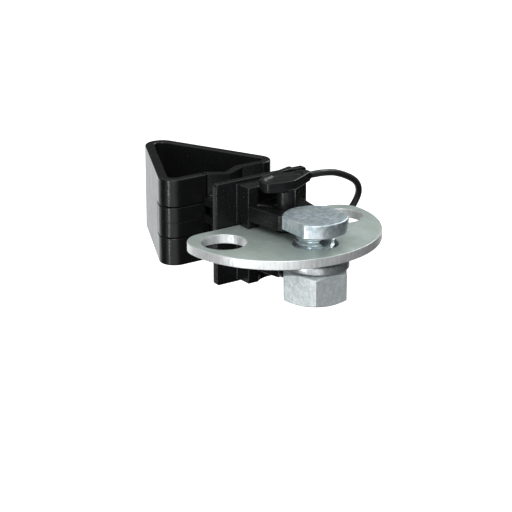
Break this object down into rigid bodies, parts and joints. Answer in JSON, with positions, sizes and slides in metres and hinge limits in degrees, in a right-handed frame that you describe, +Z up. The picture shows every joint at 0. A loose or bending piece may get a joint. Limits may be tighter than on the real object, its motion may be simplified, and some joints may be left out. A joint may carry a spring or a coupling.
{
  "type": "fence insulator",
  "caption": "Wrap-round plastic insulator for a steel T-post with a latching strap, drop pin, steel gate anchor plate and cross-drilled cable clamp bolt.",
  "frame": {"origin": "middle of the post flange's front face, at the middle of the band's height", "axes": "+X along the post flange to the right, +Y back through the post, +Z up along the post"},
  "size_m": [0.0715, 0.1037, 0.035],
  "materials": {
    "body_plastic": "moulded black plastic, satin to gloss",
    "pin_plastic": "moulded black plastic, satin",
    "galvanised_plate": "matt galvanised steel with a sheared edge",
    "zinc_bolt": "zinc plated, bright and slightly blue",
    "spring_steel": "zinc plated spring steel",
    "galvanised_nut": "hot dip galvanised, rough and mottled"
  },
  "bodies": {
    "insulator": {"insulator_body": "body_plastic", "gate_anchor_plate": "galvanised_plate", "lock_washer": "spring_steel", "pin_tether": "pin_plastic"},
    "strap": {"post_strap": "body_plastic"},
    "pin": {"lock_pin": "pin_plastic"},
    "nut": {"hex_nut": "galvanised_nut"},
    "bolt": {"clamp_bolt": "zinc_bolt"}
  },
  "joints": [
    {"name": "strap_hinge", "type": "hinge", "parent": "insulator", "child": "strap", "pos_m": [0.0155, -0.003, 0], "axis": [0, 0, 1], "range_deg": [-105, 0]},
    {"name": "pin_pull", "type": "slide", "parent": "insulator", "child": "pin", "axis": [0, 0, 1], "range_m": [0, 0.024]},
    {"name": "nut_turn", "type": "hinge", "parent": "insulator", "child": "nut", "pos_m": [0, -0.052, 0], "axis": [0, 0, 1], "range_deg": [-360, 880]},
    {"name": "bolt_draw", "type": "slide", "parent": "insulator", "child": "bolt", "axis": [0, 0, 1], "range_m": [-0.00427, 0.00174]}
  ],
  "couplings": [
    {"joint": "nut_turn", "follows": "bolt_draw", "rad_per_m": -3590.4}
  ]
}
